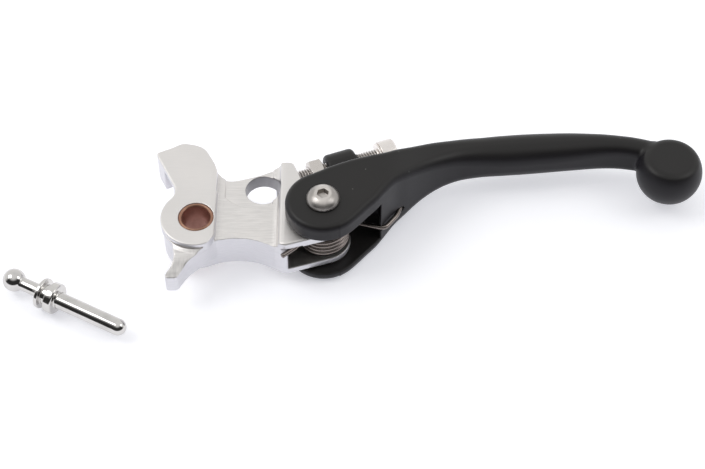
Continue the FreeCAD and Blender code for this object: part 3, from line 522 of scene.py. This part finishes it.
def socket(shape, seat, rings):
    """Rings of (height over the seat, round radius, share of that radius in the shape)."""
    return [(seat + height, lambda t, r=r, share=share: shape(t) * (1 - share) + r * share)
            for height, r, share in rings]


def fillet(points, radius, n):
    """A profile with its corners rounded, as (place, radius) pairs."""
    P = [np.array(p, float) for p in points]
    out = [tuple(P[0])]
    for a, b, c in zip(P, P[1:], P[2:]):
        u, w = a - b, c - b
        length_u, length_w = np.linalg.norm(u), np.linalg.norm(w)
        k = min(radius, length_u * 0.45, length_w * 0.45)
        p, q = b + u / length_u * k, b + w / length_w * k
        for s in np.linspace(0, 1, n):
            out.append(tuple((1 - s) ** 2 * p + 2 * s * (1 - s) * b + s * s * q))
    out.append(tuple(P[-1]))
    return out


def pivot_bush():
    """Ring in the main pivot, chamfered at both mouths."""
    inner, outer, chamfer = 4.0, BASE_BORE_R, 0.35
    end, inset = HALF_BASE, HALF_BASE - chamfer
    profile = [(-end, inner + chamfer), (-end, outer - chamfer), (-inset, outer), (inset, outer),
               (end, outer - chamfer), (end, inner + chamfer), (inset, inner), (-inset, inner),
               (-end, inner + chamfer)]
    return turned("pivot_bush", fillet(profile, 0.09, 4)[:-1], (0, 0, 0), UP, (1, 0, 0),
                  n=144, sharp=60, closed=True)


def button_screw():
    """Pivot screw: plain shank and a dome head with a hex socket."""
    seat, shank_r = 13.15, 2.5
    rim_h, rim_r, top_h, top_r = 0.34, 4.75, 2.75, 2.35
    start, stop = math.radians(8), math.radians(62)    # span of the dome's curve
    profile = [(-11.25, 2.0), (-10.75, shank_r), (seat - 0.02, shank_r), (seat - 0.01, 4.2),
               (seat, 4.35), (seat + 0.08, 4.62), (seat + rim_h, rim_r)]
    for degrees in np.linspace(8, 62, 14)[1:]:
        a = math.radians(degrees)
        rise = (math.sin(a) - math.sin(start)) / (math.sin(stop) - math.sin(start))
        spread = (math.cos(a) - math.cos(stop)) / (math.cos(start) - math.cos(stop))
        profile.append((seat + rim_h + (top_h - rim_h) * rise, top_r + (rim_r - top_r) * spread))
    profile.append((seat + top_h, 2.15))
    profile += socket(hexagon(3.0, math.radians(20)), seat,
                      [(2.74, 2.0, 0.45), (2.70, 1.86, 0.12), (2.55, 0, 0), (1.15, 0, 0),
                       (1.05, 0, 0.04), (0.95, 0, 0.45), (0.80, 0, 0.9)])
    return turned("button_screw", profile, (PIVOT_X, PIVOT_Y, 0), UP, (1, 0, 0),
                  n=144, sharp=40)


def thread(length, crest, root, pitch, n):
    """Rings of a helical thread, tapered in at the start and run out at the end."""
    t = np.linspace(0, 2 * math.pi, n, endpoint=False)
    core = root - 0.5
    rings = [(0.0, root - 0.55), (0.0, core)]
    for s in np.arange(0.0, length, pitch / 14.0)[1:]:
        phase = (s / pitch - t / (2 * math.pi)) % 1.0
        ridge = np.clip((0.5 - np.abs(phase - 0.5)) * 2.45 - 0.22, 0, 1)
        ridge = ridge * ridge * (3 - 2 * ridge) * 0.35 + ridge * 0.65
        lead_in = min(1.0, s / 0.7)
        run_out = min(1.0, max(0.0, (length - s) / 0.5))
        r = np.minimum(root + (crest - root) * ridge, core + (crest - core) * lead_in)
        rings.append((s, r * run_out + crest * 0.97 * (1 - run_out)))
    return rings


def adjuster_screw():
    """Stop screw: threaded shank, collar and cap head with a hex socket."""
    length, n = 25.4, 72
    # height over the end of the thread, radius
    head = [(0, 2.45), (0, 3.65), (0.12, 4.0), (0.52, 4.0), (0.60, 3.55), (0.74, 3.55),
            (0.76, 4.08), (0.92, 4.25), (4.9, 4.25), (5.45, 3.75), (5.6, 3.1), (5.6, 2.5)]
    profile = (thread(length, crest=2.5, root=2.06, pitch=0.8, n=n)
               + fillet([(length + height, r) for height, r in head], 0.10, 4)
               + socket(hexagon(4.0), length,
                        [(5.57, 2.4, 0.3), (5.4, 0, 0), (2.9, 0, 0), (2.8, 0, 0.1),
                         (2.6, 0, 0.9)]))
    return turned("adjuster_screw", profile, TIP, SCREW_DIR, UP, n=n, sharp=34)


def lock_nut():
    """Jam nut: one corner up and to the front, corners chamfered on both faces."""
    thickness, flats = 4.0, hexagon(8.0)
    tilt = math.radians(52)
    face = [(0.35, 2.55), (0.0, 2.9)]
    face += [(place, lambda t, limit=limit: np.minimum(flats(t), limit))
             for place, limit in ((0.0, 3.78), (0.04, 3.86), (0.18, 4.12), (0.34, 4.36))]
    face.append((0.52, flats))
    profile = face + [(thickness - place, radius) for place, radius in reversed(face)]
    return turned("lock_nut", profile, TIP + SCREW_DIR * 4.35, SCREW_DIR,
                  (0.0, -math.cos(tilt), math.sin(tilt)), n=144, sharp=32, closed=True)


def push_rod():
    """Ball, neck, two collars and a round-ended shaft."""
    ball_r, neck_r, shaft_r, shaft_end = 3.35, 1.95, 2.45, 34.6
    heading = math.radians(-27.9)
    ball_stop = math.pi - math.asin(neck_r / ball_r) - 0.03
    profile = [(-ball_r * math.cos(a), ball_r * math.sin(a))
               for a in np.linspace(0.02, ball_stop, 34)]
    profile += fillet(
        [(math.sqrt(ball_r * ball_r - neck_r * neck_r) + 0.1, neck_r), (3.8, neck_r),
         (7.2, neck_r + 0.06), (8.4, neck_r + 0.22), (9.2, neck_r + 0.6), (9.2, 4.3),
         (9.45, 4.5), (10.2, 4.5), (10.4, 4.3), (10.4, 3.05), (12.3, 3.05), (12.3, 4.35),
         (12.5, 4.55), (14.45, 4.55), (14.8, 4.15), (14.8, 2.75), (15.1, 2.46),
         (shaft_end, shaft_r)], 0.22, 5)
    profile += [(shaft_end + shaft_r * math.sin(a), shaft_r * math.cos(a))
                for a in np.linspace(0.1, math.pi / 2 - 0.03, 16)]
    return turned("loose_rod", profile, (-51.56, -11.88, -7.05),
                  (math.cos(heading), math.sin(heading), 0.0), UP, n=128, sharp=50)


bush = pivot_bush()
register("main_pivot_bush")
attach(bush, "base")
pivot_screw = button_screw()
register("pivot_screw")
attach(pivot_screw, "blade")
stop_screw = adjuster_screw()
register("stop_screw")
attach(stop_screw, "stop_screw")
nut = lock_nut()
register("jam_nut")
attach(nut, "jam_nut")
rod = push_rod()
register("push_rod")
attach(rod, "push_rod")

# ------------------------------------------------------------------ torsion spring
COIL_R, WIRE_R, COIL_PITCH, TURNS = 6.75, 0.7, 1.5, 4.289
COIL_START = 76.0                         # degrees, where the lower leg meets the coil
COIL_END = COIL_START + 360 * TURNS
SPRING_TOP = SPRING_Z + COIL_PITCH * TURNS


def coil_point(degrees, z):
    return np.array([*on_circle(PIVOT_X, PIVOT_Y, COIL_R, degrees), z])


def coil_tangent(degrees):
    angle = math.radians(degrees)
    return np.array([-math.sin(angle), math.cos(angle), 0])


def leg_path(points, rounds, step=0.4):
    """Points every step along the given corners, then smoothed by rounds of averaging."""
    path = []
    for p, q in zip(points, points[1:]):
        n = max(1, int(round(np.linalg.norm(q - p) / step)))
        path += [p + (q - p) * (k / n) for k in range(n)]
    path = np.array(path + [points[-1]])
    for _ in range(rounds):
        path[1:-1] = (path[:-2] + 2 * path[1:-1] + path[2:]) * 0.25
    return path


def spring_path():
    start, end = coil_point(COIL_START, SPRING_Z), coil_point(COIL_END, SPRING_TOP)
    back, onward = -coil_tangent(COIL_START), coil_tangent(COIL_END)
    lower = leg_path([np.array([57.9, 12.2, SPRING_Z]), LEG_GROOVE[2], LEG_GROOVE[1],
                      start + back * 13.2, start + back * 2.0, start], rounds=8)
    upper = leg_path([end, end + onward * 2.0, np.array([29.0, -7.3, SPRING_TOP]),
                      np.array([24.3, -11.2, SPRING_TOP])], rounds=12)
    coil = [coil_point(a, SPRING_Z + COIL_PITCH * (a - COIL_START) / 360.0)
            for a in np.linspace(COIL_START, COIL_END, int(64 * TURNS))]
    return np.concatenate([lower[:-1], coil, upper[1:]])


def swept(name, P, r, n=20, end=0.18):
    """A round wire along a path, with softly broken ends."""
    d = np.gradient(P, axis=0)
    d /= np.linalg.norm(d, axis=1, keepdims=True)
    near, tip = (end * 0.35, r * 0.93), r * 0.72
    stations = [(P[0], d[0], tip), (P[0] + d[0] * near[0], d[0], near[1]),
                (P[0] + d[0] * end, d[0], r)]
    stations += [(P[k], d[k], r) for k in range(1, len(P) - 1)]
    stations += [(P[-1] - d[-1] * end, d[-1], r),
                 (P[-1] - d[-1] * near[0], d[-1], near[1]), (P[-1], d[-1], tip)]
    t = np.linspace(0, 2 * math.pi, n, endpoint=False)
    side = np.array([0, 0, 1.0])
    rings = []
    for centre, ahead, radius in stations:
        side = side - ahead * np.dot(side, ahead)
        side /= np.linalg.norm(side)
        other = np.cross(ahead, side)
        rings.append(centre[None] + radius * (np.cos(t)[:, None] * side
                                              + np.sin(t)[:, None] * other))
    return loft(name, rings, sharp=60)


spring = swept("return_spring", spring_path(), WIRE_R)
register("torsion_spring")
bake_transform(spring)

# ------------------------------------------------------------------ materials
NOISE_SPAN = (0.2, 0.8)     # the part of a noise's output that is spread over a range


class Nodes:
    """Short ways to add nodes to a tree. Inputs take a number, a colour or another output."""

    def __init__(self, tree):
        self.tree = tree
        tree.nodes.clear()

    def feed(self, target, value):
        if isinstance(value, bpy.types.NodeSocket):
            self.tree.links.new(value, target)
        elif target.type == "RGBA":
            target.default_value = (*value, 1)
        else:
            target.default_value = value

    def add(self, kind, inputs=None, **props):
        node = self.tree.nodes.new(kind)
        for key, value in props.items():
            setattr(node, key, value)
        for key, value in (inputs or {}).items():
            self.feed(node.inputs[key], value)
        return node

    def split(self, vector):
        return self.add("ShaderNodeSeparateXYZ", {0: vector}).outputs

    def map(self, value, source, to=(0.0, 1.0), kind="LINEAR"):
        """Takes the source range to another, clamped."""
        return self.add("ShaderNodeMapRange", {
            "Value": value, "From Min": source[0], "From Max": source[1],
            "To Min": to[0], "To Max": to[1]}, interpolation_type=kind).outputs["Result"]

    def math(self, operation, *values):
        return self.add("ShaderNodeMath", dict(enumerate(values)), operation=operation).outputs[0]

    def times(self, a, b):
        return self.math("MULTIPLY", a, b)


class Material(Nodes):
    """A procedural material round one Principled shader. Object space is in metres."""

    def __init__(self, name):
        self.data = bpy.data.materials.new(name)
        self.data.use_nodes = True
        self.data.diffuse_color = (0.5, 0.5, 0.5, 1)
        super().__init__(self.data.node_tree)
        self.shader = self.add("ShaderNodeBsdfPrincipled")
        self.add("ShaderNodeOutputMaterial", {"Surface": self.shader.outputs[0]})
        self.coord = self.add("ShaderNodeTexCoord").outputs["Object"]

    def position(self):
        return self.split(self.coord)

    def facing(self, axis):
        """1 where the surface faces along the axis, either way; 0 where it is square to it."""
        normal = self.add("ShaderNodeNewGeometry").outputs["Normal"]
        return self.math("ABSOLUTE", self.split(normal)[axis])

    def noise(self, scale=1.0, detail=2.0, rough=0.5, stretch=(1, 1, 1), turn=(0, 0, 0)):
        mapping = self.add("ShaderNodeMapping",
                           {"Vector": self.coord, "Scale": stretch, "Rotation": turn})
        return self.add("ShaderNodeTexNoise", {
            "Vector": mapping.outputs[0], "Scale": scale, "Detail": detail,
            "Roughness": rough}).outputs["Fac"]

    def ramp(self, value, *stops):
        node = self.add("ShaderNodeValToRGB", {"Fac": value})
        elements = node.color_ramp.elements
        while len(elements) < len(stops):
            elements.new(0.5)
        for element, (position, colour) in zip(elements, stops):
            element.position = position
            element.color = (*colour, 1)
        return node.outputs["Color"]

    def mix(self, share, a, b, blend="MIX"):
        return self.add("ShaderNodeMix", {0: share, 6: a, 7: b},
                        data_type="RGBA", blend_type=blend).outputs[2]

    def bump(self, height, strength, distance, under=None):
        inputs = {"Strength": strength, "Distance": distance, "Height": height}
        if under is not None:
            inputs["Normal"] = under
        return self.add("ShaderNodeBump", inputs).outputs[0]

    def set(self, **inputs):
        for key, value in inputs.items():
            self.feed(self.shader.inputs[key.replace("_", " ")], value)


def tool_marks(m, flatness):
    """Height of the cutter marks, fading out toward the top faces."""
    height = m.position()["Z"]
    fillets = m.noise(stretch=(2600, 160, 160))
    flats = m.noise(stretch=(200, 2100, 200), turn=(0, 0, 0.12))
    walls = m.noise(stretch=(500, 500, 2600))
    marks = m.mix(m.map(flatness, source=(0.90, 0.995)), fillets, flats)
    marks = m.mix(m.map(flatness, source=(0.0, 0.5), to=(1.0, 0.0)), marks,
                  m.map(walls, source=(0.3, 0.7), to=(0.40, 0.60)))
    milled = m.map(height, source=(0.0043, 0.0062), to=(1.0, 0.16))
    return m.mix(milled, (0.5, 0.5, 0.5), marks)


def paint_shade_and_tang_streaks(m, tone, flatness):
    """Paints shade into the web's hole and the fork's slot, and darkens the tang's end with
    painted shade in cutter streaks.
    """
    x, y, z = m.position()
    # painted shade on the walls of the web's hole
    from_x, from_y = m.math("SUBTRACT", x, HOLE_X * MM), m.math("SUBTRACT", y, HOLE_Y * MM)
    radius = m.math("SQRT", m.math("ADD", m.times(from_x, from_x), m.times(from_y, from_y)))
    hole = m.times(m.math("LESS_THAN", radius, 0.00518),
                   m.map(flatness, source=(0.25, 0.75), to=(1.0, 0.0)))
    tone = m.mix(m.times(hole, 0.62), tone, (0.16, 0.155, 0.155))

    # painted shade inside the fork's slot, which lies in shadow
    slot_x = m.map(x, source=(0.0255, 0.0262))
    slot_y = m.map(y, source=(0.0096, 0.0102), to=(1.0, 0.0))
    slot_z = m.times(m.map(z, source=(-0.0049, -0.0044)),
                     m.map(z, source=(0.0037, 0.0043), to=(1.0, 0.0)))
    slot = m.times(m.times(slot_x, slot_y), slot_z)
    tone = m.mix(m.times(slot, 0.80), tone, (0.055, 0.052, 0.052))

    # the flat top toward the tang's end: painted shade, streaked along the cutter marks
    tang = m.times(m.map(y, source=(-0.0135, -0.0118), to=(1.0, 0.0)),
                   m.map(flatness, source=(0.5, 0.9)))
    tang_cutter_streaks = m.map(m.noise(stretch=(2400, 260, 400), turn=(0, 0, -0.7)),
                  source=(0.3, 0.7), to=(0.30, 0.62))
    return m.mix(m.times(tang, tang_cutter_streaks), tone, (0.40, 0.39, 0.385))


def aluminium():
    m = Material("machined_aluminium")
    flatness = m.facing("Z")
    marks = tool_marks(m, flatness)
    cloud = m.noise(scale=55, detail=4.0, rough=0.6)
    fine = m.noise(scale=2400, rough=0.6)
    # painted light: faces turned up get a lighter, warmer tone and walls a darker, bluer one
    lit_top_tone = m.ramp(cloud, (0.25, (0.735, 0.716, 0.700)), (0.55, (0.765, 0.742, 0.725)),
                  (0.85, (0.800, 0.774, 0.754)))
    walls = m.ramp(cloud, (0.25, (0.710, 0.705, 0.742)), (0.55, (0.740, 0.734, 0.768)),
                   (0.85, (0.770, 0.764, 0.792)))
    tone = m.mix(m.map(flatness, source=(0.20, 0.62)), walls, lit_top_tone)
    tone = paint_shade_and_tang_streaks(m, tone, flatness)
    streak = m.map(marks, source=(0.3, 0.7), to=(0.925, 1.045))
    m.set(Base_Color=m.mix(1.0, tone, streak, blend="MULTIPLY"), Metallic=0.88,
          Roughness=m.math("ADD", m.map(cloud, NOISE_SPAN, to=(0.37, 0.45)),
                           m.map(marks, NOISE_SPAN, to=(-0.05, 0.06))),
          Normal=m.bump(fine, strength=0.10, distance=0.00003,
                        under=m.bump(marks, strength=0.34, distance=0.00010)))
    return m.data


def bronze():
    m = Material("sintered_bronze")
    grain = m.noise(scale=2600, detail=3.0, rough=0.7)
    stain = m.noise(scale=260, detail=3.0, rough=0.6)
    # painted light: the bore gets a lighter tone than the end faces, against the shade inside it
    faces = m.ramp(stain, (0.25, (0.27, 0.135, 0.090)), (0.6, (0.40, 0.225, 0.155)),
                   (0.85, (0.56, 0.36, 0.265)))
    bore = m.ramp(stain, (0.25, (0.32, 0.155, 0.120)), (0.6, (0.46, 0.235, 0.185)),
                  (0.85, (0.58, 0.32, 0.26)))
    m.set(Base_Color=m.mix(m.map(m.facing("Z"), source=(0.25, 0.75)), bore, faces),
          Metallic=0.75, Roughness=m.map(grain, NOISE_SPAN, to=(0.30, 0.5)),
          Normal=m.bump(grain, strength=0.35, distance=0.00004))
    return m.data


def black_coat():
    m = Material("satin_black_coat")
    grain = m.noise(scale=3400, rough=0.6)
    orange_peel = m.noise(scale=620)
    cloud = m.noise(scale=38, detail=3.0)
    flatness = m.facing("Z")
    # painted sheen: pale specks, only where a broad noise is high
    speck_cells = m.add("ShaderNodeTexVoronoi", {"Scale": 190, "Vector": m.coord}, feature="F1")
    painted_sheen_speck = m.times(m.math("LESS_THAN", speck_cells.outputs["Distance"], 0.035),
                    m.math("GREATER_THAN", m.noise(scale=75, detail=1.0), 0.60))
    # painted light: faces turned up get a warmer tone and walls a darker, bluer one
    lit_top_tone = m.ramp(cloud, (0.3, (0.0114, 0.0106, 0.0104)), (0.7, (0.0140, 0.0128, 0.0124)))
    walls = m.ramp(cloud, (0.3, (0.0100, 0.0092, 0.0122)), (0.7, (0.0122, 0.0112, 0.0146)))
    tone = m.mix(m.map(flatness, source=(0.35, 0.85)), walls, lit_top_tone)
    # painted highlight: outer edges painted paler
    edge = m.map(m.add("ShaderNodeNewGeometry").outputs["Pointiness"], source=(0.52, 0.62))
    tone = m.mix(m.times(edge, 0.5), tone, (0.060, 0.058, 0.057))
    m.set(Base_Color=m.mix(m.times(painted_sheen_speck, 0.30), tone, (0.30, 0.29, 0.28)), Metallic=0.0,
          Roughness=m.map(cloud, NOISE_SPAN, to=(0.38, 0.45)),
          Specular_IOR_Level=m.map(flatness, source=(0.45, 0.95), to=(0.275, 0.33)),
          Normal=m.bump(grain, strength=0.16, distance=0.000022,
                        under=m.bump(orange_peel, strength=0.10, distance=0.00006)))
    return m.data


def scaled(tone, factor):
    return tuple(min(1.0, c * factor) for c in tone)


def steel(name, tone, rough, grain, bump, metal=1.0, pitting=0.0, shade=None):
    """Steel with stretched grain; shade(m) is a painted-shade mask, 0 where the tone is painted
    dark, 1 where it is full.
    """
    m = Material(name)
    lines = m.noise(stretch=grain)
    cloud = m.noise(scale=180, detail=3.0, rough=0.6)
    colour = m.ramp(cloud, (0.25, scaled(tone, 0.86)), (0.55, tone), (0.85, scaled(tone, 1.08)))
    if pitting:
        pits = m.map(m.noise(scale=900, rough=0.7), source=(0.60, 0.75), to=(0.0, pitting))
        colour = m.mix(pits, colour, scaled(tone, 0.45))
    if shade:
        colour = m.mix(shade(m), scaled(tone, 0.16), colour)
    m.set(Base_Color=colour, Metallic=metal,
          Roughness=m.math("ADD", m.map(lines, NOISE_SPAN, to=(-0.05, 0.06)),
                           m.map(cloud, NOISE_SPAN, to=(rough * 0.9, rough * 1.15))),
          Normal=m.bump(lines, strength=bump, distance=0.00003))
    return m.data


def thread_root_shade(m):
    """Painted shade: 1 on the stop screw's crests and head, falling to 0 in the thread's roots,
    which are painted dark.
    """
    x, y, z = m.position()
    dx = m.math("SUBTRACT", x, float(TIP[0]) * MM)
    dy = m.math("SUBTRACT", y, float(TIP[1]) * MM)
    side = m.math("SUBTRACT", m.times(dy, float(SCREW_DIR[0])), m.times(dx, float(SCREW_DIR[1])))
    radius = m.math("SQRT", m.math("ADD", m.times(side, side), m.times(z, z)))
    return m.map(radius, source=(0.00202, 0.00240))


def dome_side_shade(m):
    """Painted shade: 1 along the dome's front to back line, lower toward its sides, which are
    painted darker.
    """
    return m.map(m.facing("X"), source=(0.10, 0.42), to=(1.0, 0.52))


ALUMINIUM, BRONZE, BLACK = aluminium(), bronze(), black_coat()
NUT = steel("stainless_nut", tone=(0.62, 0.585, 0.555), rough=0.26, grain=(900, 900, 900),
            bump=0.10)
SCREW = steel("stainless_screw", tone=(0.80, 0.76, 0.73), rough=0.28, grain=(900, 900, 900),
              bump=0.10, shade=thread_root_shade)
BUTTON = steel("button_head", tone=(0.63, 0.595, 0.565), rough=0.35, grain=(900, 900, 900),
               bump=0.10, shade=dome_side_shade)
WIRE = steel("drawn_spring_wire", tone=(0.23, 0.20, 0.185), rough=0.20, grain=(700, 700, 700),
             bump=0.15, metal=0.95, pitting=0.5)
WASHER = steel("plain_washer", tone=(0.58, 0.57, 0.55), rough=0.33, grain=(600, 600, 2000),
               bump=0.12)
SLEEVE = steel("ground_sleeve", tone=(0.55, 0.55, 0.55), rough=0.25, grain=(400, 400, 3000),
               bump=0.12)
CHROME = steel("polished_rod", tone=(0.645, 0.63, 0.615), rough=0.085, grain=(300, 300, 2600),
               bump=0.03)

for obj, material in ((base, ALUMINIUM), (bush, BRONZE), (blade, BLACK), (pivot_screw, BUTTON),
                      (stop_screw, SCREW), (nut, NUT), (rod, CHROME), (spring, WIRE)):
    obj.data.materials.clear()
    obj.data.materials.append(material)
# pieces kept as they come from the CAD
for node, material in (("fork_bush_upper", BRONZE), ("fork_bush_lower", BRONZE),
                       ("thrust_washer_upper", WASHER), ("thrust_washer_lower", WASHER),
                       ("pivot_sleeve", SLEEVE)):
    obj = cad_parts[node]
    if not obj.material_slots:
        obj.data.materials.append(material)
    for slot in obj.material_slots:
        slot.material = material


# ------------------------------------------------------------------ floor, light and camera
def pale_floor():
    m = Material("pale_floor")
    paper = m.noise(scale=900, detail=3.0, rough=0.6)
    m.set(Base_Color=m.ramp(paper, (0.2, (0.76, 0.76, 0.765)), (0.8, (0.79, 0.79, 0.795))),
          Emission_Color=(0.92, 0.93, 1.0), Emission_Strength=0.45, Roughness=0.9,
          Normal=m.bump(paper, strength=0.03, distance=0.00005))
    return m.data


FLOOR_Z = -0.01163
floor_mesh = bpy.data.meshes.new("floor")
floor_mesh.from_pydata([(x, y, FLOOR_Z) for x, y in
                        ((-1.6, -1.3), (1.6, -1.3), (1.6, 1.9), (-1.6, 1.9))],
                       [], [(0, 1, 2, 3)])
floor = link_object("floor", floor_mesh)
floor.data.materials.append(pale_floor())


def studio_world():
    """A white tent, with a dark patch on the front side from the horizon to high up."""
    world = bpy.data.worlds.new("studio")
    bpy.context.scene.world = world
    world.use_nodes = True
    w = Nodes(world.node_tree)
    _, y, z = w.split(w.add("ShaderNodeTexCoord").outputs["Generated"])

    def ease(value, source, to):
        return w.map(value, source, to, kind="SMOOTHSTEP")

    below_zenith = ease(z, source=(0.60, 0.97), to=(1.0, 0.0))
    above_horizon = ease(z, source=(-0.03, 0.04), to=(0.0, 1.0))
    in_front = ease(y, source=(-0.42, 0.05), to=(1.0, 0.0))
    patch = w.times(w.times(below_zenith, above_horizon), in_front)
    level = w.times(ease(z, source=(0.0, 0.9), to=(1.02, 0.93)),
                    w.math("ADD", w.times(patch, -0.96), 1.0))
    colour = w.add("ShaderNodeCombineColor", {0: level, 1: level, 2: w.times(level, 0.995)})
    sky = w.add("ShaderNodeBackground", {"Color": colour.outputs[0], "Strength": 0.95})
    w.add("ShaderNodeOutputWorld", {"Surface": sky.outputs[0]})


def softbox(name, place, target, size, power):
    """A square white area light aimed at the target."""
    light = bpy.data.lights.new(name, "AREA")
    light.shape = "RECTANGLE"
    light.size = light.size_y = size
    light.energy = power
    light.color = (1, 1, 1)
    obj = link_object(name, light)
    obj.location = place
    aim = Vector(target) - Vector(place)
    obj.rotation_euler = aim.to_track_quat("-Z", "Y").to_euler()


studio_world()
softbox("key_softbox", place=(-0.55, 0.02, 0.75), target=(0.04, 0.0, 0.0), size=0.45, power=2.2)
softbox("fill_softbox", place=(0.62, -0.05, 0.60), target=(0.05, 0.0, 0.0), size=0.35, power=0.8)

lens = bpy.data.cameras.new("camera")
lens.lens = 90
lens.sensor_width = 36
camera = link_object("camera", lens)
camera.location = (0.04398, -0.30838, 0.39334)
camera.rotation_euler = (math.radians(38), 0, 0)
scene = bpy.context.scene
scene.camera = camera
scene.view_settings.view_transform = "Standard"
scene.view_settings.look = "None"
